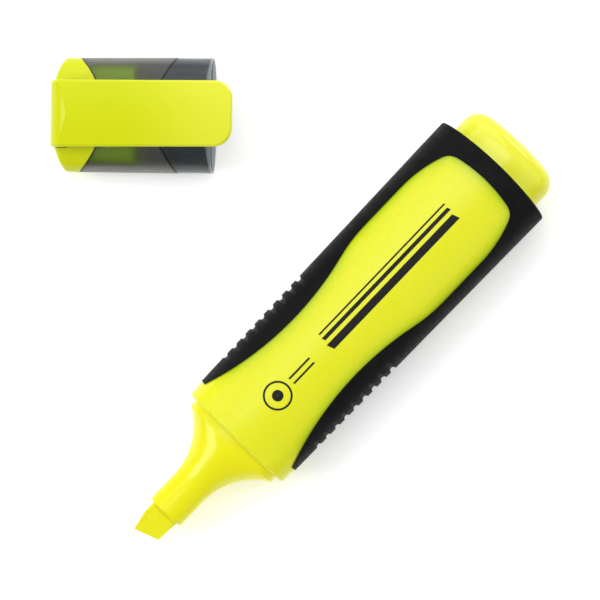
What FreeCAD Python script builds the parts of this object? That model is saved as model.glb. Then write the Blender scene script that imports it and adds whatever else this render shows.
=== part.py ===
import FreeCAD, Part
import math
import os
import re

import Sketcher
from FreeCAD import Placement, Rotation, Vector

# A flat highlighter lying beside its pulled-off cap, in millimetres.
# Pen pieces are drawn with X from the leading corner of the nib to the rear and Z through the
# thickness. Cap pieces are drawn with X from the closed end to the mouth and the clip on +Z.

DIMENSIONS = {
    # stations along the pen
    "nozzle_front": 6.6,
    "flare_start": 13.5,
    "shoulder_start": 25.6,
    "barrel_front": 27.2,
    "grip_front": 30.7,
    "barrel_rear": 101.3,
    "pen_length": 108.85,
    "skirt_length": 6.0,
    "spigot_length": 6.5,
    # sections of the pen, across and through
    "nozzle_width": 8.05,
    "nozzle_thick": 7.0,
    "nozzle_side": 3.2,
    "shoulder_width": 22.1,
    "shoulder_thick": 12.2,
    "shoulder_side": 5.2,
    "flare_radius": 14.1,
    "collar_width": 25.3,
    "collar_thick": 15.4,
    "collar_side": 6.8,
    "collar_bevel": 0.3,
    "grip_width_front": 25.9,
    "grip_width_rear": 27.7,
    "grip_thick": 16.0,
    "grip_side": 7.0,
    "rubber_wall": 1.0,
    "panel_drop": 0.2,
    "bore_width": 21.2,
    "bore_thick": 11.5,
    "bore_side": 4.8,
    "nose_wall": 1.1,
    "rear_crown": 1.0,
    "grip_rounding": 0.5,
    "nozzle_rounding": 0.6,
    "nib_rounding": 0.5,
    # window in the rubber
    "waist_station": 52.6,
    "waist_width": 16.5,
    "waist_radius": 65.7,
    "hip_radius": 35.0,
    "window_width": 21.8,
    "window_straight_end": 86.0,
    "window_taper_radius": 27.0,
    "window_corner_radius": 3.2,
    "window_end_radius": 34.0,
    "window_rear": 98.3,
    # finger grooves
    "groove_first": 37.55,
    "groove_pitch": 2.64,
    "groove_radius": 0.65,
    "groove_ring": 10.0,
    "groove_floor": 12.66,
    # nib and reservoir
    "nib_width": 6.15,
    "nib_thick": 4.2,
    "nib_kink": 4.2,
    "nib_slant": 1.8,
    "nib_lead": 2.25,
    "nib_heel": 2.8,
    "nib_edge_thick": 1.3,
    "nib_wedge": 5.4,
    "nib_tail": 19.0,
    "nib_end": 29.0,
    "nib_point": 1.6,
    "reservoir_front": 26.6,
    "reservoir_rear": 94.0,
    "reservoir_width": 18.2,
    "reservoir_thick": 8.6,
    "reservoir_side": 3.4,
    "wrap_wall": 0.15,
    "wrap_margin": 1.0,
    # rear plug
    "plug_end_radius": 80.0,
    "plug_rounding": 3.7,
    "plug_wall": 1.3,
    # cap
    "cap_length": 32.45,
    "cap_width_end": 22.86,
    "cap_width_mouth": 23.24,
    "cap_thick_end": 8.6,
    "cap_thick_mouth": 13.8,
    "cap_side_end": 3.7,
    "cap_side_mouth": 5.9,
    "cap_fit": 0.05,
    "cap_wall": 1.0,
    "mouth_straight": 3.2,
    "step_depth": 0.1,
    "step_apex": 18.6,
    "step_edge": 25.3,
    "dome_radius": 25.0,
    "dome_rounding": 1.1,
    "tongue_apex": 10.75,
    "tongue_radius": 15.5,
    "insert_gap": 0.45,
    "insert_wall": 0.7,
    "insert_depth": 3.4,
    "insert_length": 17.0,
    "seal_wall": 0.7,
    # clip, with heights from the axis of the cap
    "clip_width": 13.4,
    "clip_width_end": 13.05,
    "clip_length": 36.95,
    "clip_crown": 45.0,
    "clip_thick": 1.7,
    "clip_start": 0.25,
    "clip_foot": 2.6,
    "clip_foot_length": 3.2,
    "clip_low": 6.0,
    "clip_high": 8.5,
    "clip_corner": 3.7,
    "clip_rounding": 0.6,
    "clip_bend": 4.0,
    "clip_clearance": 0.1,
    "bump_station": 27.5,
    "bump_radius": 1.2,
    "bump_sink": 0.1,
    # where the two lie
    "pen_angle": 46.25,
    "pen_place_x": -31.5,
    "pen_place_y": -47.2,
    "cap_angle": -0.7,
    "cap_place_x": -49.7,
    "cap_place_y": 37.2,
    # how far a cutting or joining shape runs past the face that it meets
    "overlap": 1.0,
}

GROOVES = 9
FLARE_SECTIONS = 7
# how many of the flare's sections, counted from the nozzle, are left solid
FLARE_SOLID = 2
# longer than any piece is wide, for shapes that cut right through
WIDE = 60.0
# angle in degrees that the window's flank has turned through where its corner begins
CORNER_TURN = 20
# tolerance of the tests that pick edges to round
CLOSE = 0.01

doc = FreeCAD.newDocument("highlighter")
sheet = doc.addObject("Spreadsheet::Sheet", "dims")
for row, (alias, size) in enumerate(DIMENSIONS.items(), start=1):
    sheet.set("A%d" % row, alias)
    sheet.set("B%d" % row, str(size))
    sheet.setAlias("B%d" % row, alias)
doc.recompute()


# ---- helpers ---------------------------------------------------------------------------------

def size_of(formula):
    """Value in millimetres of a formula written with the sheet's aliases."""
    return float(sheet.evalExpression(str(formula)))


def on_sheet(formula):
    """The same formula as other objects write it."""
    return re.sub(r"\b([a-z]\w*)\b(?!\()", r"dims.\1", str(formula))


def bind(thing, path, formula):
    thing.setExpression(path, on_sheet(formula))


def new_body(name):
    return doc.addObject("PartDesign::Body", name)


def new_sketch(body, name, plane, station="0"):
    """An empty sketch on one of the body's own planes, moved out to a station."""
    sketch = body.newObject("Sketcher::SketchObject", name)
    support = [item for item in body.Origin.OriginFeatures if item.Role == plane][0]
    sketch.AttachmentSupport = [(support, "")]
    sketch.MapMode = "FlatFace"
    bind(sketch, "AttachmentOffset.Base.z", station)
    return sketch


def dimension(sketch, name, formula, kind, *where):
    """A named sketch dimension that follows the sheet."""
    index = sketch.addConstraint(Sketcher.Constraint(kind, *where, size_of(formula)))
    sketch.renameConstraint(index, name)
    bind(sketch, "Constraints." + name, formula)


def line(sketch, start, end):
    return sketch.addGeometry(Part.LineSegment(Vector(*start, 0), Vector(*end, 0)), False)


def arc(sketch, centre, radius, start, end):
    """An arc drawn counter-clockwise between two angles in degrees."""
    circle = Part.Circle(Vector(*centre, 0), Vector(0, 0, 1), radius)
    return sketch.addGeometry(Part.ArcOfCircle(circle, math.radians(start), math.radians(end)), False)


def oval(body, name, station, width, thick, side):
    """A flat oval across the axis: two long arcs joined by two side arcs, all tangent."""
    sketch = new_sketch(body, name, "YZ_Plane", station)
    half_width = size_of(width) / 2
    half_thick = size_of(thick) / 2
    small = size_of(side)
    reach = half_width - small
    large = (reach ** 2 + half_thick ** 2 - small ** 2) / (2 * (half_thick - small))
    turn = math.degrees(math.atan2(large - half_thick, reach))
    right = arc(sketch, (reach, 0), small, -turn, turn)
    top = arc(sketch, (0, half_thick - large), large, turn, 180 - turn)
    left = arc(sketch, (-reach, 0), small, 180 - turn, 180 + turn)
    bottom = arc(sketch, (0, large - half_thick), large, 180 + turn, 360 - turn)
    crown = sketch.addGeometry(Part.Point(Vector(0, half_thick, 0)), True)
    for first, second in ((right, top), (top, left), (left, bottom)):
        sketch.addConstraint(Sketcher.Constraint("Tangent", first, 2, second, 1))
    sketch.addConstraint(Sketcher.Constraint("Coincident", bottom, 2, right, 1))
    for piece, axis in ((right, -1), (left, -1), (top, -2)):
        sketch.addConstraint(Sketcher.Constraint("PointOnObject", piece, 3, axis))
    sketch.addConstraint(Sketcher.Constraint("Equal", right, left))
    sketch.addConstraint(Sketcher.Constraint("Equal", top, bottom))
    sketch.addConstraint(Sketcher.Constraint("PointOnObject", crown, 1, -2))
    sketch.addConstraint(Sketcher.Constraint("PointOnObject", crown, 1, top))
    dimension(sketch, "reach", "(%s) / 2 - (%s)" % (width, side), "DistanceX", -1, 1, right, 3)
    dimension(sketch, "side", side, "Radius", right)
    dimension(sketch, "crown", "(%s) / 2" % thick, "DistanceY", -1, 1, crown, 1)
    return sketch


def less(section, wall):
    """A section with a wall taken off all round."""
    width, thick, side = section
    return (
        "%s - 2 * (%s)" % (width, wall),
        "%s - 2 * (%s)" % (thick, wall),
        "%s - (%s)" % (side, wall),
    )


def loft(body, name, sections, subtract=False, ruled=False):
    """A loft through ovals given as (station, (width, thick, side))."""
    kind = "SubtractiveLoft" if subtract else "AdditiveLoft"
    sketches = []
    for index, (station, section) in enumerate(sections):
        sketches.append(oval(body, "%s_section_%d" % (name, index), station, *section))
    feature = body.newObject("PartDesign::" + kind, name)
    feature.Profile = sketches[0]
    feature.Sections = sketches[1:]
    feature.Ruled = ruled
    return feature


def pad(body, name, sketch, length, symmetric=False):
    feature = body.newObject("PartDesign::Pad", name)
    feature.Profile = sketch
    feature.SideType = "Symmetric" if symmetric else "One side"
    bind(feature, "Length", length)
    return feature


def pocket(body, name, sketch, length, symmetric=False, reverse=False):
    feature = body.newObject("PartDesign::Pocket", name)
    feature.Profile = sketch
    feature.SideType = "Symmetric" if symmetric else "One side"
    feature.Reversed = reverse
    bind(feature, "Length", length)
    return feature


def polygon(sketch, corners):
    """A closed outline whose corners are held by two formulas each, across and up."""
    points = [(size_of(across), size_of(up)) for across, up in corners]
    count = len(points)
    lines = [line(sketch, points[index], points[(index + 1) % count]) for index in range(count)]
    for index in range(count):
        joint = Sketcher.Constraint("Coincident", lines[index], 2, lines[(index + 1) % count], 1)
        sketch.addConstraint(joint)
    for index, (across, up) in enumerate(corners):
        dimension(sketch, "across_%d" % index, across, "DistanceX", -1, 1, lines[index], 1)
        dimension(sketch, "up_%d" % index, up, "DistanceY", -1, 1, lines[index], 1)


def block(name, plane, corners, length):
    """A prism with a polygon outline, as long on one side of its plane as on the other."""
    body = new_body(name)
    sketch = new_sketch(body, name + "_outline", plane)
    polygon(sketch, corners)
    pad(body, name + "_pad", sketch, length, symmetric=True)
    return body


def boolean(kind, name, base, tool):
    result = doc.addObject("Part::" + kind, name)
    result.Base = base
    result.Tool = tool
    return result


def cut(name, base, tool):
    return boolean("Cut", name, base, tool)


def common(name, base, tool):
    return boolean("Common", name, base, tool)


def fuse(name, *shapes):
    result = doc.addObject("Part::MultiFuse", name)
    result.Shapes = list(shapes)
    return result


def round_edges(name, base, radius, wanted):
    """Round the edges of a shape that a test picks out."""
    doc.recompute()
    edges = [index for index, edge in enumerate(base.Shape.Edges, start=1) if wanted(edge)]
    result = doc.addObject("Part::Fillet", name)
    result.Base = base
    result.Edges = [(index, size_of(radius), size_of(radius)) for index in edges]
    return result


def round_body(body, name, radius, wanted):
    """Round edges of the solid that a body has so far."""
    doc.recompute()
    tip = body.Tip
    edges = ["Edge%d" % index for index, edge in enumerate(tip.Shape.Edges, start=1) if wanted(edge)]
    feature = body.newObject("PartDesign::Fillet", name)
    feature.Base = (tip, edges)
    bind(feature, "Radius", radius)
    return feature


# ---- sections --------------------------------------------------------------------------------

NOZZLE = ("nozzle_width", "nozzle_thick", "nozzle_side")
SHOULDER = ("shoulder_width", "shoulder_thick", "shoulder_side")
COLLAR = ("collar_width", "collar_thick", "collar_side")
GRIP_FRONT = ("grip_width_front", "grip_thick", "grip_side")
GRIP_REAR = ("grip_width_rear", "grip_thick", "grip_side")
BORE = ("bore_width", "bore_thick", "bore_side")
RESERVOIR = ("reservoir_width", "reservoir_thick", "reservoir_side")
CAP_END = ("cap_width_end", "cap_thick_end", "cap_side_end")
CAP_MOUTH = ("cap_width_mouth", "cap_thick_mouth", "cap_side_mouth")
BODY_END = "barrel_rear + rear_crown + overlap"


def body_block(name, wall, start="grip_front"):
    """The tapering outside of the barrel, less a wall."""
    body = new_body(name)
    sections = [(start, less(GRIP_FRONT, wall)), (BODY_END, less(GRIP_REAR, wall))]
    loft(body, name + "_loft", sections, ruled=True)
    return body


def straight_block(name, section, start, end, wall="0"):
    """A straight oval bar between two stations."""
    body = new_body(name)
    sketch = oval(body, name + "_section", start, *less(section, wall))
    pad(body, name + "_pad", sketch, "%s - (%s)" % (end, start))
    return body


# ---- shared cutting shapes -------------------------------------------------------------------

def window_tool():
    """The hourglass window that the rubber leaves on both faces of the barrel."""
    body = new_body("window")
    half = new_sketch(body, "window_half", "XY_Plane")
    front = size_of("grip_front - overlap")
    rear = size_of("window_rear")
    wide = size_of("window_width") / 2
    waist_x = size_of("waist_station")
    waist_r = size_of("waist_radius")
    waist_y = size_of("waist_width") / 2 + waist_r
    hip_r = size_of("hip_radius")
    straight = size_of("window_straight_end")
    taper_r = size_of("window_taper_radius")
    corner_r = size_of("window_corner_radius")
    end_r = size_of("window_end_radius")
    # junction of the waist arc with the hip arc, from the triangle between their centres
    lean = math.acos((waist_y - (wide - hip_r)) / (waist_r + hip_r))
    hip_x = waist_x + (waist_r + hip_r) * math.sin(lean)
    # junction of the taper arc with the corner arc, and of the corner arc with the end arc
    turn = math.radians(CORNER_TURN)
    corner_x = straight + (taper_r - corner_r) * math.sin(turn)
    corner_y = wide - taper_r + (taper_r - corner_r) * math.cos(turn)
    end_turn = math.atan2(corner_y, corner_x - (rear - end_r))
    lean_deg = math.degrees(lean)
    corner_deg = 90 - CORNER_TURN
    end_deg = math.degrees(end_turn)
    front_angle = 180 + math.degrees(math.acos((waist_x - front) / waist_r))
    front_y = waist_y - math.sqrt(waist_r ** 2 - (waist_x - front) ** 2)

    base = line(half, (front, 0), (rear, 0))
    side = line(half, (front, 0), (front, front_y))
    waist = arc(half, (waist_x, waist_y), waist_r, front_angle, 270 + lean_deg)
    hip = arc(half, (hip_x, wide - hip_r), hip_r, 90, 90 + lean_deg)
    flank = line(half, (hip_x, wide), (straight, wide))
    taper = arc(half, (straight, wide - taper_r), taper_r, corner_deg, 90)
    corner = arc(half, (corner_x, corner_y), corner_r, end_deg, corner_deg)
    end = arc(half, (rear - end_r, 0), end_r, 0, end_deg)

    corners = [(base, 1, side, 1), (side, 2, waist, 1), (base, 2, end, 1)]
    smooth = [(waist, 2, hip, 2), (hip, 1, flank, 1), (flank, 2, taper, 2)]
    smooth += [(taper, 1, corner, 2), (corner, 1, end, 2)]
    for joint in corners:
        half.addConstraint(Sketcher.Constraint("Coincident", *joint))
    for joint in smooth:
        half.addConstraint(Sketcher.Constraint("Tangent", *joint))
    half.addConstraint(Sketcher.Constraint("Horizontal", base))
    half.addConstraint(Sketcher.Constraint("Vertical", side))
    half.addConstraint(Sketcher.Constraint("Horizontal", flank))
    half.addConstraint(Sketcher.Constraint("PointOnObject", base, 1, -1))
    half.addConstraint(Sketcher.Constraint("PointOnObject", end, 3, -1))
    dimension(half, "front", "grip_front - overlap", "DistanceX", -1, 1, base, 1)
    dimension(half, "rear", "window_rear", "DistanceX", -1, 1, base, 2)
    dimension(half, "waist_at", "waist_station", "DistanceX", -1, 1, waist, 3)
    dimension(half, "waist_centre", "waist_width / 2 + waist_radius", "DistanceY", -1, 1, waist, 3)
    dimension(half, "waist_r", "waist_radius", "Radius", waist)
    dimension(half, "hip_r", "hip_radius", "Radius", hip)
    dimension(half, "flank_at", "window_width / 2", "DistanceY", -1, 1, flank, 1)
    dimension(half, "flank_end", "window_straight_end", "DistanceX", -1, 1, flank, 2)
    dimension(half, "taper_r", "window_taper_radius", "Radius", taper)
    dimension(half, "corner_r", "window_corner_radius", "Radius", corner)
    dimension(half, "end_r", "window_end_radius", "Radius", end)
    pad(body, "window_pad", half, WIDE, symmetric=True)
    mirrored = body.newObject("PartDesign::Mirrored", "window_mirrored")
    mirrored.Originals = [doc.getObject("window_pad")]
    mirrored.MirrorPlane = (half, ["H_Axis"])
    body.Tip = mirrored
    return body


def drum(name, radius, centre_x):
    """A tall upright cylinder, for edges that are curved in plan."""
    cylinder = doc.addObject("Part::Cylinder", name)
    bind(cylinder, "Radius", radius)
    cylinder.Height = WIDE
    bind(cylinder, "Placement.Base.x", centre_x)
    cylinder.setExpression("Placement.Base.z", "-%s / 2" % WIDE)
    return cylinder


def groove_rings():
    """Rings that leave the finger grooves in both sides of the rubber."""
    rings = []
    for index in range(GROOVES):
        for hand, sign in (("left", 1), ("right", -1)):
            ring = doc.addObject("Part::Torus", "groove_%s_%d" % (hand, index))
            bind(ring, "Radius1", "groove_ring")
            bind(ring, "Radius2", "groove_radius")
            ring.Placement = Placement(Vector(), Rotation(Vector(0, 1, 0), 90))
            bind(ring, "Placement.Base.x", "groove_first + %d * groove_pitch" % index)
            offset = "groove_floor + groove_radius - groove_ring"
            bind(ring, "Placement.Base.y", "%d * (%s)" % (sign, offset))
            rings.append(ring)
    return fuse("grooves", *rings)


# ---- pen -------------------------------------------------------------------------------------

window = window_tool()
crown_radius = "grip_width_rear ^ 2 / (8 * rear_crown) + rear_crown / 2"
crown_drum = drum("crown_drum", crown_radius, "barrel_rear + rear_crown - (%s)" % crown_radius)


def make_barrel():
    core = body_block("core", "rubber_wall", start="grip_front - overlap")
    level = common("panel_level", body_block("panel_block", "panel_drop"), window)
    collar = new_body("collar")
    loft(collar, "collar_loft", [
        ("barrel_front", less(COLLAR, "collar_bevel")),
        ("barrel_front + collar_bevel", COLLAR),
        ("grip_front", less(GRIP_FRONT, "panel_drop")),
    ], ruled=True)
    solid = common("barrel_solid", fuse("barrel_parts", core, level, collar), crown_drum)
    bore = straight_block("bore", BORE, "barrel_front - overlap", BODY_END)
    return cut("barrel", solid, bore)


def make_grip():
    outside = common("grip_outside", body_block("grip_block", "0"), crown_drum)
    rear = size_of("window_rear")
    rounded = round_edges("grip_rounded", outside, "grip_rounding", lambda edge: edge.BoundBox.XMin > rear)
    ring = cut("grip_ring", rounded, body_block("grip_inside", "rubber_wall", start="barrel_front"))
    opened = cut("grip_opened", ring, window)
    return cut("grip_sleeve", opened, groove_rings())


def flare_section(spread, swell, wall="0"):
    """A section part of the way from the nozzle to the shoulder in width, and in thickness."""
    blend = "%s + %.5f * (%s - %s)"
    shares = (spread, swell, swell)
    section = tuple(blend % (a, share, b, a) for a, b, share in zip(NOZZLE, SHOULDER, shares))
    return less(section, wall)


def flare_sections(wall="0"):
    """Sections along the flare: one concave arc in plan, and an S-shaped swell in thickness."""
    radius = size_of("flare_radius")
    length = size_of("shoulder_start - flare_start")
    full = radius - math.sqrt(radius ** 2 - length ** 2)
    sections = []
    for index in range(FLARE_SECTIONS):
        part = index / (FLARE_SECTIONS - 1)
        spread = (radius - math.sqrt(radius ** 2 - (part * length) ** 2)) / full
        swell = part ** 2 * (3 - 2 * part)
        station = "flare_start + %.5f * (shoulder_start - flare_start)" % part
        sections.append((station, flare_section(spread, swell, wall)))
    return sections


def make_nose():
    body = new_body("nose")
    loft(body, "flare", flare_sections())
    front = oval(body, "nozzle_section", "nozzle_front", *NOZZLE)
    pad(body, "nozzle", front, "flare_start - nozzle_front")
    lip = size_of("nozzle_front") + CLOSE
    round_body(body, "nozzle_lip", "nozzle_rounding", lambda edge: edge.BoundBox.XMax < lip)
    shoulder = oval(body, "shoulder_section", "shoulder_start", *SHOULDER)
    pad(body, "shoulder", shoulder, "barrel_front - shoulder_start")
    skirt = oval(body, "skirt_section", "barrel_front", *BORE)
    pad(body, "skirt", skirt, "skirt_length")
    loft(body, "flare_hollow", flare_sections("nose_wall")[FLARE_SOLID:], subtract=True)
    inside = oval(body, "skirt_hollow_section", "barrel_front + skirt_length", *less(BORE, "nose_wall"))
    pocket(body, "skirt_hollow", inside, "barrel_front + skirt_length - shoulder_start")
    slot = new_sketch(body, "slot_section", "YZ_Plane", "nozzle_front")
    polygon(slot, rectangle("nib_width", "nib_thick"))
    pocket(body, "slot", slot, "shoulder_start - nozzle_front", reverse=True)
    return body


def rectangle(width, height):
    """Corners of a rectangle centred on the origin."""
    return [("%s%s / 2" % (side, width), "%s%s / 2" % (rise, height))
            for side, rise in (("-", "-"), ("", "-"), ("", ""), ("-", ""))]


def make_nib(name):
    body = new_body(name)
    plan = new_sketch(body, name + "_plan", "XY_Plane")
    polygon(plan, [
        ("0", "nib_lead"),
        ("nib_slant", "-nib_heel"),
        ("nozzle_front", "-nib_width / 2"),
        ("nib_tail", "-nib_width / 2"),
        ("nib_end", "-nib_point / 2"),
        ("nib_end", "nib_point / 2"),
        ("nib_tail", "nib_width / 2"),
        ("nib_kink", "nib_width / 2"),
    ])
    pad(body, name + "_pad", plan, "nib_thick", symmetric=True)
    half_width = size_of("nib_width / 2")
    round_body(
        body, name + "_long_edges", "nib_rounding",
        lambda edge: abs(abs(edge.CenterOfMass.y) - half_width) < CLOSE and edge.BoundBox.ZLength < CLOSE)
    for side, sign in (("upper", ""), ("lower", "-")):
        wedge = new_sketch(body, "%s_%s_wedge" % (name, side), "XZ_Plane")
        polygon(wedge, [
            ("-overlap", sign + "nib_edge_thick / 2"),
            ("0", sign + "nib_edge_thick / 2"),
            ("nib_wedge", sign + "nib_thick / 2"),
            ("nib_wedge", sign + "(nib_thick / 2 + overlap)"),
            ("-overlap", sign + "(nib_thick / 2 + overlap)"),
        ])
        pocket(body, "%s_%s_face" % (name, side), wedge, WIDE, symmetric=True)
    return body


def make_reservoir():
    bundle = straight_block("bundle", RESERVOIR, "reservoir_front", "reservoir_rear")
    return cut("ink_reservoir", bundle, make_nib("nib_room"))


def make_wrap():
    front = "reservoir_front + wrap_margin"
    outside = straight_block("wrap_outside", RESERVOIR, front, "reservoir_rear - wrap_margin", "-wrap_wall")
    inside = straight_block("wrap_inside", RESERVOIR, "reservoir_front", "reservoir_rear")
    return cut("reservoir_wrap", outside, inside)


def make_plug():
    head = straight_block("plug_head", SHOULDER, "barrel_rear - overlap", "pen_length")
    ahead = cut("plug_behind", head, crown_drum)
    end_drum = drum("plug_end_drum", "plug_end_radius", "pen_length - plug_end_radius")
    shaped = common("plug_shaped", ahead, end_drum)
    seam = size_of("barrel_rear + rear_crown")
    rounded = round_edges("plug_rounded", shaped, "plug_rounding", lambda edge: edge.BoundBox.XMin > seam)
    spigot = straight_block("plug_spigot", BORE, "barrel_rear - spigot_length", BODY_END)
    solid = fuse("plug_solid", rounded, spigot)
    hollow_end = "pen_length - plug_wall - plug_rounding / 2"
    hollow_start = "barrel_rear - spigot_length - overlap"
    hollow = straight_block("plug_hollow", BORE, hollow_start, hollow_end, "plug_wall")
    return cut("rear_plug", solid, hollow)


# ---- cap -------------------------------------------------------------------------------------

STRAIGHT_FROM = "cap_length - mouth_straight"


def cap_block(name, wall="0"):
    """The outside of the cap, thinner towards its closed end, less a wall."""
    body = new_body(name)
    sections = [("0", less(CAP_END, wall)), ("cap_length", less(CAP_MOUTH, wall))]
    loft(body, name + "_loft", sections, ruled=True)
    return body


def cap_inside(name, wall="0"):
    """The space inside the sleeve: straight where the shoulder fits, then narrowing."""
    body = new_body(name)
    fit = less(SHOULDER, "-cap_fit")
    narrow = less(CAP_END, "cap_wall")
    sections = [("0", less(narrow, wall)), (STRAIGHT_FROM, less(fit, wall))]
    loft(body, name + "_loft", sections, ruled=True)
    mouth = oval(body, name + "_mouth", STRAIGHT_FROM, *less(fit, wall))
    pad(body, name + "_pad", mouth, "mouth_straight + overlap")
    return body


def ahead_of(name, station):
    """Everything from just behind the closed end up to a station."""
    return block(name, "XY_Plane", [
        ("-overlap", "-cap_width_mouth"),
        (station, "-cap_width_mouth"),
        (station, "cap_width_mouth"),
        ("-overlap", "cap_width_mouth"),
    ], WIDE)


def chevron():
    """The arrow-shaped front of the sleeve that is stepped down a little."""
    return block("chevron", "XY_Plane", [
        ("step_apex", "0"),
        ("step_edge", "-cap_width_end / 2"),
        ("step_edge", "-cap_width_mouth"),
        ("cap_length + overlap", "-cap_width_mouth"),
        ("cap_length + overlap", "cap_width_mouth"),
        ("step_edge", "cap_width_mouth"),
        ("step_edge", "cap_width_end / 2"),
    ], WIDE)


tongue_drum = drum("tongue_drum", "tongue_radius", "tongue_apex - tongue_radius")
dome_drum = drum("dome_drum", "dome_radius", "dome_radius")


def make_sleeve():
    raised = cut("sleeve_raised", cap_block("sleeve_outside"), chevron())
    solid = fuse("sleeve_solid", raised, cap_block("sleeve_stepped", "step_depth"))
    open_end = cut("sleeve_open", solid, tongue_drum)
    return cut("cap_sleeve", open_end, cap_inside("sleeve_inside"))


def make_insert():
    head = common("insert_head", cap_block("insert_outside"), tongue_drum)
    reach = ahead_of("insert_reach", "insert_length")
    skirt = common("insert_skirt", cap_inside("insert_fit", "insert_gap"), reach)
    solid = common("insert_solid", fuse("insert_parts", head, skirt), dome_drum)
    depth = size_of("insert_depth")
    rounded = round_edges("insert_rounded", solid, "dome_rounding", lambda edge: edge.BoundBox.XMax < depth)
    closed_end = ahead_of("insert_end", "insert_depth")
    hollow = cut("insert_hollow", cap_inside("insert_space", "insert_gap + insert_wall"), closed_end)
    seal_start = "insert_depth - overlap"
    thicker = "-cap_fit - seal_wall"
    seal_outside = straight_block("seal_outside", NOZZLE, seal_start, "insert_length", thicker)
    ring = cut("insert_ring", hollow, seal_outside)
    seal_bore = straight_block("seal_bore", NOZZLE, "insert_depth", "insert_length + overlap", "-cap_fit")
    open_skirt = cut("insert_open", cut("insert_ringed", rounded, ring), seal_bore)
    return cut("cap_insert", open_skirt, clip_notch())


def clip_notch():
    """The seat in the closed end that takes the foot of the clip."""
    front = "clip_start + clip_foot_length + clip_clearance"
    floor = "clip_foot - clip_clearance"
    return block("clip_notch", "XZ_Plane", [
        ("-overlap", floor),
        (front, floor),
        (front, "clip_high * 2"),
        ("-overlap", "clip_high * 2"),
    ], "clip_width + 2 * clip_clearance")


def clip_outline():
    """The clip's outline in plan, narrowing a little to its rounded free end."""
    plan = block("clip_plan", "XY_Plane", [
        ("clip_start", "-clip_width / 2"),
        ("clip_start + clip_length", "-clip_width_end / 2"),
        ("clip_start + clip_length", "clip_width_end / 2"),
        ("clip_start", "clip_width / 2"),
    ], WIDE)
    end = size_of("clip_start + clip_length") - CLOSE
    round_body(
        plan, "clip_end_corners", "clip_corner",
        lambda edge: edge.BoundBox.XMin > end and edge.BoundBox.YLength < CLOSE)
    return plan


def clip_crown_bar(rise):
    """A long round bar whose top is the slightly crowned outer face of the clip."""
    crown = doc.addObject("Part::Cylinder", "clip_crown_bar")
    bind(crown, "Radius", "clip_crown")
    crown.Height = WIDE
    slope = math.degrees(math.atan(size_of(rise)))
    crown.Placement = Placement(Vector(), Rotation(Vector(0, 1, 0), 90 - slope))
    bind(crown, "Placement.Base.x", "clip_start - overlap")
    top = "clip_low + clip_thick - (clip_foot_length + overlap) * %s" % rise
    bind(crown, "Placement.Base.z", "%s - clip_crown * sqrt(1 + (%s) ^ 2)" % (top, rise))
    return crown


def make_clip():
    body = new_body("clip_blank")
    side = new_sketch(body, "clip_side", "XZ_Plane")
    rise = "(clip_high - clip_low) / (clip_length - clip_foot_length)"
    polygon(side, [
        ("clip_start", "clip_foot"),
        ("clip_start + clip_foot_length", "clip_foot"),
        ("clip_start + clip_foot_length", "clip_low"),
        ("clip_start + clip_length", "clip_high"),
        ("clip_start + clip_length", "clip_high + clip_thick"),
        ("clip_start", "clip_low + clip_thick - clip_foot_length * %s" % rise),
    ])
    pad(body, "clip_pad", side, "clip_width + 2 * overlap", symmetric=True)
    start = size_of("clip_start") + CLOSE
    low = size_of("clip_low")
    round_body(
        body, "clip_bent", "clip_bend",
        lambda edge: edge.BoundBox.XMax < start and edge.BoundBox.ZMin > low)
    crowned = common("clip_crowned", body, clip_crown_bar(rise))
    shaped = common("clip_shaped", crowned, clip_outline())
    softened = round_edges("clip_softened", shaped, "clip_rounding", on_clip_rim)
    bump = doc.addObject("Part::Cylinder", "clip_bump")
    bind(bump, "Radius", "bump_radius")
    bind(bump, "Height", "clip_width_end - 2 * clip_rounding")
    bump.Placement = Placement(Vector(), Rotation(Vector(1, 0, 0), 90))
    bind(bump, "Placement.Base.x", "bump_station")
    bind(bump, "Placement.Base.y", "clip_width_end / 2 - clip_rounding")
    bind(bump, "Placement.Base.z", "clip_low + (bump_station - clip_foot_length) * %s + bump_sink" % rise)
    return fuse("clip", softened, bump)


def on_clip_rim(edge):
    """The clip's outer rim: round the free end, along both sides and down its back."""
    box = edge.BoundBox
    foot_end = size_of("clip_start + clip_foot_length")
    if box.XMin > foot_end - CLOSE:
        return box.XMax > foot_end + CLOSE and box.ZLength < box.XLength + box.YLength
    at_side = abs(box.YMin + box.YMax) > size_of("clip_width_end") and box.YLength < size_of("clip_corner")
    return at_side and box.ZMax > size_of("clip_foot") + CLOSE


# ---- assembly --------------------------------------------------------------------------------

pen_pieces = [make_barrel(), make_grip(), make_nose(), make_nib("nib")]
pen_pieces += [make_reservoir(), make_wrap(), make_plug()]
cap_pieces = [make_sleeve(), make_insert(), make_clip()]
doc.recompute()

# Both lie on the surface, each on its lower face. The cap's taper tips its axis, mouth up.
slope = size_of("(cap_thick_mouth - cap_thick_end) / (2 * cap_length)")
cap_pitch = math.degrees(math.atan(slope))
cap_height = size_of("cap_thick_end / 2") * math.cos(math.atan(slope))
pen_turn = Rotation(Vector(0, 0, 1), size_of("pen_angle"))
cap_turn = Rotation(Vector(0, 0, 1), size_of("cap_angle")) * Rotation(Vector(0, 1, 0), -cap_pitch)
pen_base = Vector(size_of("pen_place_x"), size_of("pen_place_y"), size_of("grip_thick / 2"))
cap_base = Vector(size_of("cap_place_x"), size_of("cap_place_y"), cap_height)
pen_place = Placement(pen_base, pen_turn)
cap_place = Placement(cap_base, cap_turn)
for pieces, place in ((pen_pieces, pen_place), (cap_pieces, cap_place)):
    for piece in pieces:
        piece.Placement = place
doc.recompute()

# The origin goes to the middle of the footprint.
whole = FreeCAD.BoundBox()
for piece in pen_pieces + cap_pieces:
    whole.add(piece.Shape.optimalBoundingBox(False))
shift = Vector(-whole.Center.x, -whole.Center.y, -whole.ZMin)
for piece in pen_pieces + cap_pieces:
    piece.Placement.Base += shift
doc.recompute()

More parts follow.
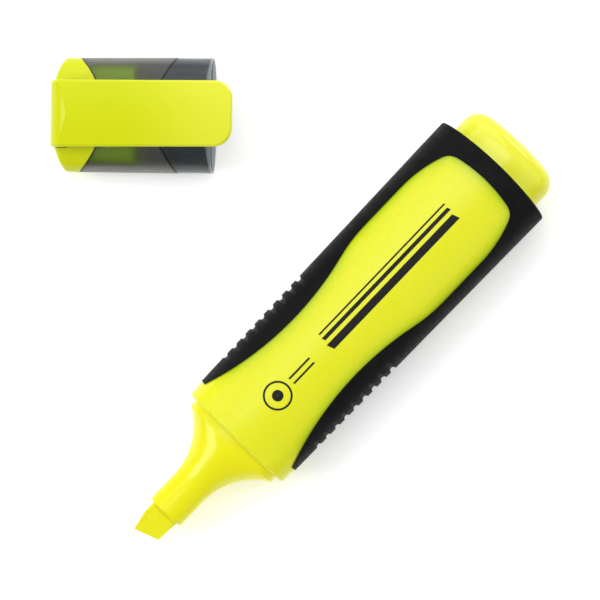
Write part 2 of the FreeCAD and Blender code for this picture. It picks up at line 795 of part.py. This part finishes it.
for item in doc.Objects:
    if "Invalid" in item.State or "Error" in item.State:
        raise RuntimeError("%s did not build: %s" % (item.Name, item.State))
for piece in pen_pieces + cap_pieces:
    if piece.Shape.isNull() or not piece.Shape.isValid():
        raise RuntimeError("%s has no valid shape" % piece.Label)

os.makedirs("parts", exist_ok=True)
for piece in pen_pieces + cap_pieces:
    piece.Shape.exportStep("parts/%s.step" % piece.Label)
    print("%-16s %d solid %9.1f mm3" % (piece.Label, len(piece.Shape.Solids), piece.Shape.Volume))
print("pen at", pen_place.Base + shift, "cap at", cap_place.Base + shift, "pitch", round(cap_pitch, 3))
print("size", whole)
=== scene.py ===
import math

import bmesh
import bpy
from mathutils import Matrix, Vector
from mathutils.bvhtree import BVHTree


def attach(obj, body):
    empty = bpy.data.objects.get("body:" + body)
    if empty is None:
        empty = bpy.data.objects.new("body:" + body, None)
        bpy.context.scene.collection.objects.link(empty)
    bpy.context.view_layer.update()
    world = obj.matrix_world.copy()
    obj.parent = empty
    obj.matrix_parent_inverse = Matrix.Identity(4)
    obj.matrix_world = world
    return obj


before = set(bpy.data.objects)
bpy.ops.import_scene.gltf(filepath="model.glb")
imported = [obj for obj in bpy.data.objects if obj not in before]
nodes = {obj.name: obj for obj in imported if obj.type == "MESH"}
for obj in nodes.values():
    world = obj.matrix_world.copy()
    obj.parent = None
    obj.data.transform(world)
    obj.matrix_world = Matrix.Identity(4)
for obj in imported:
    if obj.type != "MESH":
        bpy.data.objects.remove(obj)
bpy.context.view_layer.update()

MM = 0.001

# Where the pen and the cap lie in the frame. The pen's origin is the leading corner of its nib,
# with X to the rear. The cap's is the middle of its closed end, with X to the mouth.
PEN_TURN = math.radians(46.25)
CAP_TURN = math.radians(-0.7)
CAP_PITCH = math.radians(-4.581)
PEN_PLACE = Matrix.Translation((-0.0315375, -0.0475857, 0.008)) @ Matrix.Rotation(PEN_TURN, 4, "Z")
CAP_PLACE = (
    Matrix.Translation((-0.0497375, 0.0368143, 0.0042863))
    @ Matrix.Rotation(CAP_TURN, 4, "Z") @ Matrix.Rotation(CAP_PITCH, 4, "Y"))


# ---- material helpers ------------------------------------------------------------------------

# A Mix node's colour sockets, which share their names with its sockets for numbers and vectors.
MIX_UNDER, MIX_OVER, MIX_RESULT = 6, 7, 2


class Shading:
    """A material's node tree, with short names for the nodes it needs."""

    def __init__(self, name, place=None, **sockets):
        self.material = bpy.data.materials.new(name)
        self.material.use_nodes = True
        self.tree = self.material.node_tree
        self.shader = self.tree.nodes["Principled BSDF"]
        for socket, value in sockets.items():
            self.shader.inputs[socket.replace("_", " ")].default_value = value
        self.point = self.add("ShaderNodeTexCoord").outputs["Object"]
        if place is not None:
            inverse = place.inverted()
            self.point = self.mapped(Location=inverse.to_translation(), Rotation=inverse.to_euler())

    def add(self, kind, **settings):
        node = self.tree.nodes.new(kind)
        for name, value in settings.items():
            setattr(node, name, value)
        return node

    def link(self, source, target):
        self.tree.links.new(source, target)

    def set(self, socket, source):
        self.link(source, self.shader.inputs[socket])

    def mapped(self, **sockets):
        """The place moved, turned or scaled."""
        node = self.add("ShaderNodeMapping")
        for socket, value in sockets.items():
            node.inputs[socket].default_value = value
        self.link(self.point, node.inputs["Vector"])
        return node.outputs["Vector"]

    def split(self):
        """The place's X, Y and Z."""
        node = self.add("ShaderNodeSeparateXYZ")
        self.link(self.point, node.inputs["Vector"])
        return node.outputs

    def noise(self, size, detail=2.0, point=None):
        node = self.add("ShaderNodeTexNoise")
        node.inputs["Scale"].default_value = 1 / size
        node.inputs["Detail"].default_value = detail
        self.link(point or self.point, node.inputs["Vector"])
        return node.outputs["Fac"]

    def cells(self, size):
        node = self.add("ShaderNodeTexVoronoi")
        node.inputs["Scale"].default_value = 1 / size
        self.link(self.point, node.inputs["Vector"])
        return node.outputs["Distance"]

    def math(self, operation, first, second=0.0, third=0.0):
        """An operation on numbers, which go on the sockets themselves, and on linked values."""
        node = self.add("ShaderNodeMath", operation=operation)
        for value, target in zip((first, second, third), node.inputs):
            if isinstance(value, (int, float)):
                target.default_value = value
            else:
                self.link(value, target)
        return node.outputs["Value"]

    def length(self, first, second):
        squares = self.math("MULTIPLY_ADD", first, first, self.math("MULTIPLY", second, second))
        return self.math("SQRT", squares)

    def spread(self, value, low, high, to_low=0.0, to_high=1.0):
        """A value mapped from one range to another, smoothly and held inside it."""
        node = self.add("ShaderNodeMapRange", interpolation_type="SMOOTHSTEP")
        self.link(value, node.inputs["Value"])
        ends = {"From Min": low, "From Max": high, "To Min": to_low, "To Max": to_high}
        for socket, number in ends.items():
            node.inputs[socket].default_value = number
        return node.outputs["Result"]

    def colours(self, factor, low, high):
        """A blend between two colours, each given with its place along a factor."""
        node = self.add("ShaderNodeValToRGB")
        for element, (place, colour) in zip(node.color_ramp.elements, (low, high)):
            element.position = place
            element.color = (*colour, 1)
        self.link(factor, node.inputs["Fac"])
        return node.outputs["Color"]

    def cover(self, factor, colour):
        """Lays a colour over the base colour, as far as the factor says."""
        base = self.shader.inputs["Base Color"]
        node = self.add("ShaderNodeMix", data_type="RGBA")
        self.link(factor, node.inputs["Factor"])
        self.link(base.links[0].from_socket, node.inputs[MIX_UNDER])
        node.inputs[MIX_OVER].default_value = (*colour, 1)
        self.link(node.outputs[MIX_RESULT], base)

    def bump(self, height, distance, normal=None):
        node = self.add("ShaderNodeBump")
        node.inputs["Distance"].default_value = distance
        self.link(height, node.inputs["Height"])
        if normal is not None:
            self.link(normal, node.inputs["Normal"])
        return node.outputs["Normal"]


def paint(thing, shading):
    thing.data.materials.clear()
    thing.data.materials.append(shading.material)


# ---- places that the materials follow --------------------------------------------------------

def from_rubber(s):
    """How far inside the rubber's hourglass window a place is, from the circles that bound it."""
    waist_x, waist_y, waist_radius = 52.6 * MM, 73.95 * MM, 65.7 * MM
    flank_x, flank_below, flank_radius = 86.0 * MM, 16.1 * MM, 27.0 * MM
    end_x, end_radius = 64.3 * MM, 34.0 * MM
    x, y, _ = s.split()
    side = s.math("ABSOLUTE", y)
    to_waist = s.length(s.math("SUBTRACT", x, waist_x), s.math("SUBTRACT", side, waist_y))
    past_flank = s.math("MAXIMUM", s.math("SUBTRACT", x, flank_x), 0.0)
    to_flank = s.length(past_flank, s.math("ADD", side, flank_below))
    to_end = s.length(s.math("SUBTRACT", x, end_x), y)
    within_rear = s.math(
        "MINIMUM", s.math("SUBTRACT", flank_radius, to_flank), s.math("SUBTRACT", end_radius, to_end))
    return s.math("MINIMUM", s.math("SUBTRACT", to_waist, waist_radius), within_rear)


def from_cut(s):
    """How far past the rounded cut at the cap's end a place is. The cut is part of an upright circle."""
    behind_end, radius = 4.75 * MM, 15.5 * MM
    x, y, _ = s.split()
    return s.math("SUBTRACT", s.length(s.math("ADD", x, behind_end), y), radius)


# ---- materials -------------------------------------------------------------------------------

def moulded_yellow(name, place, light, deep, painted_glow, roughness, specular, grain=0.0, painted_light_along=None):
    """Glossy fluorescent plastic: faint flow clouding, orange-peel skin, rubbed patches and a painted
    glow.

    grain is the depth in millimetres of a finer texture. The last argument is the start, the end
    and the colour of painted light that makes the piece lighter along its length.
    """
    # The emission is a painted glow that lifts the plastic's shaded sides.
    s = Shading(
        name, place, IOR=1.49, Specular_IOR_Level=specular,
        Emission_Color=(*painted_glow, 1), Emission_Strength=1.0,
        Subsurface_Weight=0.12, Subsurface_Radius=(0.9, 1.0, 0.2), Subsurface_Scale=1.2 * MM)
    s.set("Base Color", s.colours(s.noise(9 * MM), (0.3, deep), (0.7, light)))
    if painted_light_along is not None:
        # Painted light: the piece turns lighter along its length.
        start, end, painted_light_colour = painted_light_along
        s.cover(s.spread(s.split()[0], start, end), painted_light_colour)
    rubbed = s.noise(2.2 * MM, 4.0)
    s.set("Roughness", s.spread(rubbed, 0.3, 0.75, roughness - 0.015, roughness + 0.03))
    skin_bump = s.bump(s.noise(0.9 * MM), 0.003 * MM)
    if grain:
        skin_bump = s.bump(s.noise(0.16 * MM), grain * MM, normal=skin_bump)
    s.set("Normal", skin_bump)
    return s


def panel_yellow():
    """The barrel's plastic, whose panels get painted shade, a deeper green, towards the rubber round
    them.
    """
    painted_edge_shade, fade_length, fade_start = (0.36, 0.51, 0.0), 0.95 * MM, 0.15
    s = moulded_yellow(
        "panel_yellow", PEN_PLACE, light=(0.785, 0.79, 0.013), deep=(0.775, 0.782, 0.009),
        painted_glow=(0.03, 0.045, 0.0), roughness=0.27, specular=0.42, grain=0.0025)
    # Painted shade where the raised rubber rim meets the panel's edge.
    fade = s.math("MULTIPLY_ADD", from_rubber(s), -1 / fade_length, fade_start)
    shade_near_rubber = s.math("MINIMUM", s.math("EXPONENT", fade), 1.0)
    behind_collar = s.spread(s.split()[0], 31 * MM, 37 * MM)
    s.cover(s.math("MULTIPLY", shade_near_rubber, behind_collar), painted_edge_shade)
    return s


def cap_end_yellow():
    """The cap's yellow end. Only its skirt, past the cut and inside the smoky sleeve, has a painted
    glow.
    """
    s = moulded_yellow(
        "cap_end_yellow", CAP_PLACE, light=(0.65, 0.70, 0.001), deep=(0.635, 0.69, 0.0),
        painted_glow=(0.0, 0.03, 0.0), roughness=0.24, specular=0.3)
    s.set("Emission Strength", s.spread(from_cut(s), 0.1 * MM, 0.4 * MM))
    return s


def soft_rubber():
    """Matte soft-touch rubber with a fine pebbled skin, lint specks and rubbed patches."""
    lint_size, lint_strength, lint_grey = 0.06, 0.5, (0.12, 0.12, 0.125)
    s = Shading("soft_rubber", PEN_PLACE, IOR=1.45, Specular_IOR_Level=0.1)
    s.set("Base Color", s.colours(
        s.noise(6 * MM, 4.0), (0.3, (0.0045, 0.0045, 0.005)), (0.75, (0.0085, 0.0082, 0.0088))))
    lint = s.spread(s.cells(0.8 * MM), 0.0, lint_size, 1.0, 0.0)
    s.cover(s.math("MULTIPLY", lint, lint_strength), lint_grey)
    s.set("Roughness", s.spread(s.noise(1.4 * MM, 5.0), 0.3, 0.7, 0.46, 0.6))
    pebbles = s.bump(s.cells(0.2 * MM), 0.01 * MM)
    s.set("Normal", s.bump(s.noise(0.5 * MM, 4.0), 0.012 * MM, normal=pebbles))
    return s


def pressed_fibre(name, light, deep, across, painted_root_shade=None):
    """Fibres pressed side by side along the pen and soaked with ink, with a faint painted glow.

    across is a fibre's width. The last argument is the start, the end and the colour of
    painted shade along the pen.
    """
    fibre_stretch, strand_share, soaked_share = 0.09, 0.6, 0.4
    s = Shading(
        name, PEN_PLACE, Roughness=0.75, IOR=1.36,
        Emission_Color=(0.05, 0.045, 0.0, 1), Emission_Strength=1.0)
    along = s.mapped(Scale=(fibre_stretch, 1, 1))
    strands = s.noise(across, 3.0, along)
    soaked = s.noise(2.2 * MM, 3.0)
    tone = s.math(
        "ADD", s.math("MULTIPLY", strands, strand_share), s.math("MULTIPLY", soaked, soaked_share))
    s.set("Base Color", s.colours(tone, (0.35, deep), (0.65, light)))
    if painted_root_shade is not None:
        # Painted shade: darker and warmer where the nozzle shades the nib's root.
        start, end, root_shade_colour = painted_root_shade
        s.cover(s.spread(s.split()[0], start, end), root_shade_colour)
    coarse = s.bump(s.noise(across * 2.5, 2.0, along), 0.05 * MM)
    s.set("Normal", s.bump(strands, 0.05 * MM, normal=coarse))
    return s


def smoke_plastic():
    """Clear dark plastic: milky behind the chevron step, polished and darker past it."""
    chevron_x, chevron_slope = 18.6 * MM, 0.586
    lip_x, lip_bow = 31.5 * MM, 7.0
    milky_low, milky_high = (0.265, 0.27, 0.255), (0.295, 0.30, 0.285)
    painted_skirt_light, polished_grey = (0.53, 0.64, 0.005), (0.155, 0.19, 0.205)
    painted_lip_reflection, painted_seam_shade = (0.48, 0.51, 0.525), (0.012, 0.010, 0.008)
    s = Shading("smoke_plastic", CAP_PLACE, IOR=1.49, Specular_IOR_Level=0.18)
    x, y, z = s.split()
    side = s.math("ABSOLUTE", y)
    s.set("Base Color", s.colours(s.noise(7 * MM), (0.3, milky_low), (0.7, milky_high)))

    # Painted light: it is greener where the yellow skirt stands behind it.
    before_skirt_end = s.spread(x, 16.3 * MM, 18.4 * MM, 1.0, 0.0)
    between_skirt_sides = s.spread(side, 8.8 * MM, 10.4 * MM, 1.0, 0.0)
    s.cover(s.math("MULTIPLY", before_skirt_end, between_skirt_sides), painted_skirt_light)

    # It is polished past the chevron, whose tip points to the closed end.
    chevron = s.math("MULTIPLY_ADD", side, chevron_slope, chevron_x)
    beyond = s.math("SUBTRACT", x, chevron)
    s.cover(s.spread(beyond, -0.1 * MM, 0.1 * MM), polished_grey)
    s.set("Roughness", s.spread(beyond, -0.1 * MM, 0.1 * MM, 0.34, 0.28))

    # A painted reflection makes the face of the mouth paler, and it is less clear: on top past an arc
    # that meets the rim at the sides, and below the top from a little further in.
    arc = s.math("MULTIPLY", s.math("MULTIPLY", y, y), lip_bow)
    past_arc = s.math("SUBTRACT", s.math("SUBTRACT", x, lip_x), arc)
    below_top = s.spread(z, 6 * MM, 8 * MM, 1.0, 0.0)
    top_lip = s.spread(past_arc, 0.0, 0.12 * MM, 0.0, 0.6)
    low_lip = s.math("MULTIPLY", s.spread(past_arc, -0.3 * MM, -0.16 * MM), below_top)
    lip_reflection = s.math("MAXIMUM", top_lip, low_lip)
    s.cover(lip_reflection, painted_lip_reflection)
    s.set("Transmission Weight", s.spread(lip_reflection, 0.0, 1.0, 1.0, 0.8))

    # Painted shade darkens the chevron's step and the sleeve's edge at the cut.
    step = s.spread(s.math("ABSOLUTE", beyond), 0.16 * MM, 0.4 * MM, 1.0, 0.0)
    cut_edge = s.spread(from_cut(s), 0.12 * MM, 0.32 * MM, 1.0, 0.0)
    s.cover(s.math("MAXIMUM", step, cut_edge), painted_seam_shade)
    s.set("Normal", s.bump(s.noise(1.1 * MM, 3.0), 0.005 * MM))
    return s


def clear_film():
    s = Shading("clear_film", PEN_PLACE, Roughness=0.12, IOR=1.5, Transmission_Weight=0.9)
    s.set("Base Color", s.colours(s.noise(3 * MM), (0.3, (0.86, 0.9, 0.6)), (0.7, (0.92, 0.94, 0.7))))
    return s


def printing_ink():
    """Pad-printed black, very slightly uneven."""
    s = Shading("printing_ink", PEN_PLACE, IOR=1.45, Specular_IOR_Level=0.2)
    s.set("Base Color", s.colours(
        s.noise(0.35 * MM, 4.0), (0.3, (0.006, 0.006, 0.007)), (0.75, (0.016, 0.016, 0.014))))
    s.set("Roughness", s.spread(s.noise(0.2 * MM, 3.0), 0.3, 0.7, 0.35, 0.5))
    s.set("Normal", s.bump(s.noise(0.12 * MM, 3.0), 0.004 * MM))
    return s


looks = {
    "barrel": panel_yellow(),
    # The nose has the strongest painted glow, which lifts its shaded flare.
    "nose": moulded_yellow(
        "nose_yellow", PEN_PLACE, light=(0.735, 0.715, 0.004), deep=(0.72, 0.70, 0.001),
        painted_glow=(0.16, 0.15, 0.0), roughness=0.23, specular=0.42),
    "rear_plug": moulded_yellow(
        "plug_yellow", PEN_PLACE, light=(0.76, 0.76, 0.04), deep=(0.74, 0.745, 0.03),
        painted_glow=(0.07, 0.07, 0.0), roughness=0.17, specular=0.5),
    "cap_insert": cap_end_yellow(),
    # The clip gets painted light, lighter towards its free end.
    "clip": moulded_yellow(
        "clip_yellow", CAP_PLACE, light=(0.665, 0.70, 0.001), deep=(0.65, 0.69, 0.0),
        painted_glow=(0.0, 0.02, 0.0), roughness=0.2, specular=0.28,
        painted_light_along=(14 * MM, 36 * MM, (0.77, 0.775, 0.035))),
    "grip_sleeve": soft_rubber(),
    # The nib's root gets painted shade from the nozzle.
    "nib": pressed_fibre(
        "nib_fibre", light=(0.84, 0.82, 0.012), deep=(0.79, 0.77, 0.0), across=0.16 * MM,
        painted_root_shade=(5.4 * MM, 7.2 * MM, (0.80, 0.67, 0.0))),
    "ink_reservoir": pressed_fibre(
        "bundle_fibre", light=(0.85, 0.86, 0.12), deep=(0.7, 0.75, 0.04), across=0.3 * MM),
    "reservoir_wrap": clear_film(),
    "cap_sleeve": smoke_plastic(),
}
for node_name, look in looks.items():
    paint(nodes[node_name], look)


# ---- printed marks ---------------------------------------------------------------------------
# Plain bars, two short lines and a ring with a dot stand in the places of the pen's own printing.

INK_RISE = 0.02 * MM
INK_SINK = 0.03 * MM
ABOVE_PEN = 20 * MM
RING_STEPS = 48
SLANT = -0.35
barrel_mesh = nodes["barrel"].data
barrel_skin = BVHTree.FromPolygons(
    [v.co.copy() for v in barrel_mesh.vertices], [tuple(p.vertices) for p in barrel_mesh.polygons])
ink = printing_ink()


def on_barrel(x, y):
    """The point of the barrel's upper face over a place in the pen's plan, in millimetres."""
    above = PEN_PLACE @ Vector((x * MM, y * MM, ABOVE_PEN))
    return barrel_skin.ray_cast(above, Vector((0, 0, -1)))[0]


def stamp(name, grid, closed=False):
    """A thin closed skin of ink from rows of plan points, each row as long as the others."""
    bm = bmesh.new()
    rows = [[on_barrel(x, y) for x, y in row] for row in grid]
    top = [[bm.verts.new(p + Vector((0, 0, INK_RISE))) for p in row] for row in rows]
    low = [[bm.verts.new(p - Vector((0, 0, INK_SINK))) for p in row] for row in rows]
    count = len(rows[0])
    steps = [(i, (i + 1) % count) for i in range(count if closed else count - 1)]
    for r in range(len(rows) - 1):
        for a, b in steps:
            bm.faces.new((top[r][a], top[r][b], top[r + 1][b], top[r + 1][a]))
            bm.faces.new((low[r][b], low[r][a], low[r + 1][a], low[r + 1][b]))
    for a, b in steps:
        bm.faces.new((top[0][b], top[0][a], low[0][a], low[0][b]))
        bm.faces.new((top[-1][a], top[-1][b], low[-1][b], low[-1][a]))
    if not closed:
        for r in range(len(rows) - 1):
            bm.faces.new((top[r][0], top[r + 1][0], low[r + 1][0], low[r][0]))
            bm.faces.new((top[r + 1][-1], top[r][-1], low[r][-1], low[r + 1][-1]))
    bmesh.ops.recalc_face_normals(bm, faces=bm.faces)
    mesh = bpy.data.meshes.new(name)
    bm.to_mesh(mesh)
    bm.free()
    piece = bpy.data.objects.new(name, mesh)
    bpy.context.scene.collection.objects.link(piece)
    paint(piece, ink)
    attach(piece, "pen")


def bar(name, start, end, low, high):
    """A bar along the pen with both ends cut on a slant."""
    columns = 2 + int(end - start)
    rows = 2 + int(2 * (high - low))
    grid = []
    for r in range(rows):
        up = r / (rows - 1)
        y = low + (high - low) * up
        shift = SLANT * (y - low)
        grid.append([(start + (end - start) * c / (columns - 1) + shift, y) for c in range(columns)])
    stamp(name, grid)


def ring(name, x, y, inner, outer):
    turns = [2 * math.pi * i / RING_STEPS for i in range(RING_STEPS)]
    radii = (inner, (inner + outer) / 2, outer)
    grid = [[(x + radius * math.cos(t), y + radius * math.sin(t)) for t in turns] for radius in radii]
    stamp(name, grid, closed=True)


# Places are in millimetres of the pen's plan: a bar's start, end and sides, a ring's centre and radii.
LONG = (53.6, 89.4)
SHORT = (43.2, 49.0)
RING_CENTRE = (39.2, 0.0)
bar("mark_bar_broad", *LONG, -1.7, -0.1)
bar("mark_bar_medium", *LONG, 0.75, 1.55)
bar("mark_bar_fine", *LONG, 2.25, 2.6)
ring("mark_ring", *RING_CENTRE, 2.55, 2.95)
ring("mark_dot", *RING_CENTRE, 0.05, 1.15)
bar("mark_short_upper", *SHORT, 0.45, 0.85)
bar("mark_short_lower", *SHORT, -0.85, -0.45)


# ---- floor, light and camera -----------------------------------------------------------------

FLOOR_REACH = 4.0
FLOOR_DROP = 0.05 * MM
FLOOR_GLOW = 0.32
WORLD_LIGHT = 0.37
WHITE = (1.0, 1.0, 1.0, 1)
LIGHT_TARGET = Vector((0, 0, 0.005))
CAMERA_PLACE = (-0.000038, -0.000386, 0.657)
# Each light's direction and distance from the target, its width and height, and its power in watts.
SOFTBOXES = {
    "top_key": ((0, 1, 1), 0.9, 0.8, 0.5, 1.5),
    "top_low": ((0, 1, 0.36), 0.9, 0.9, 0.35, 1.4),
    "left_key": ((-0.6, 0.6, 1), 0.9, 0.5, 0.5, 0.6),
    "left_box": ((-0.74, -0.06, 0.67), 0.9, 0.34, 0.42, 2.5),
    "right_box": ((1, 0, 1), 0.9, 0.8, 0.8, 1.4),
    "rear_low": ((0.7, 0.72, 0.14), 0.9, 0.32, 0.26, 0.9),
    "overhead": ((-0.02, 0.22, 1), 1.2, 0.6, 0.5, 2.4),
}

floor_mesh = bpy.data.meshes.new("floor")
floor_corners = [
    (x * FLOOR_REACH, y * FLOOR_REACH, 0) for x, y in ((-1, -1), (1, -1), (1, 1), (-1, 1))]
floor_mesh.from_pydata(floor_corners, [], [(0, 1, 2, 3)])
floor = bpy.data.objects.new("floor", floor_mesh)
floor.location.z = -FLOOR_DROP
bpy.context.scene.collection.objects.link(floor)
floor_look = Shading("floor_paper", Roughness=0.8, Emission_Color=WHITE, Emission_Strength=FLOOR_GLOW)
floor_look.set("Base Color", floor_look.colours(
    floor_look.noise(50 * MM), (0.3, (0.93, 0.93, 0.93)), (0.7, (0.95, 0.95, 0.95))))
floor_look.set("Normal", floor_look.bump(floor_look.noise(0.4 * MM, 3.0), 0.01 * MM))
paint(floor, floor_look)

world = bpy.data.worlds.new("studio")
bpy.context.scene.world = world
world.use_nodes = True
background = world.node_tree.nodes["Background"]
background.inputs["Color"].default_value = WHITE
background.inputs["Strength"].default_value = WORLD_LIGHT

for lamp_name, (direction, distance, width, height, power) in SOFTBOXES.items():
    lamp = bpy.data.lights.new(lamp_name, "AREA")
    lamp.shape = "RECTANGLE"
    lamp.size = width
    lamp.size_y = height
    lamp.energy = power
    softbox = bpy.data.objects.new(lamp_name, lamp)
    toward = Vector(direction).normalized()
    softbox.location = LIGHT_TARGET + toward * distance
    softbox.rotation_euler = (-toward).to_track_quat("-Z", "Y").to_euler()
    bpy.context.scene.collection.objects.link(softbox)

# A new camera looks straight down.
camera_data = bpy.data.cameras.new("camera")
camera_data.lens = 195
camera_data.sensor_width = 36
camera_data.clip_start = 0.01
camera_data.clip_end = 50
camera = bpy.data.objects.new("camera", camera_data)
camera.location = CAMERA_PLACE
bpy.context.scene.collection.objects.link(camera)
bpy.context.scene.camera = camera
bpy.context.scene.view_settings.view_transform = "Standard"
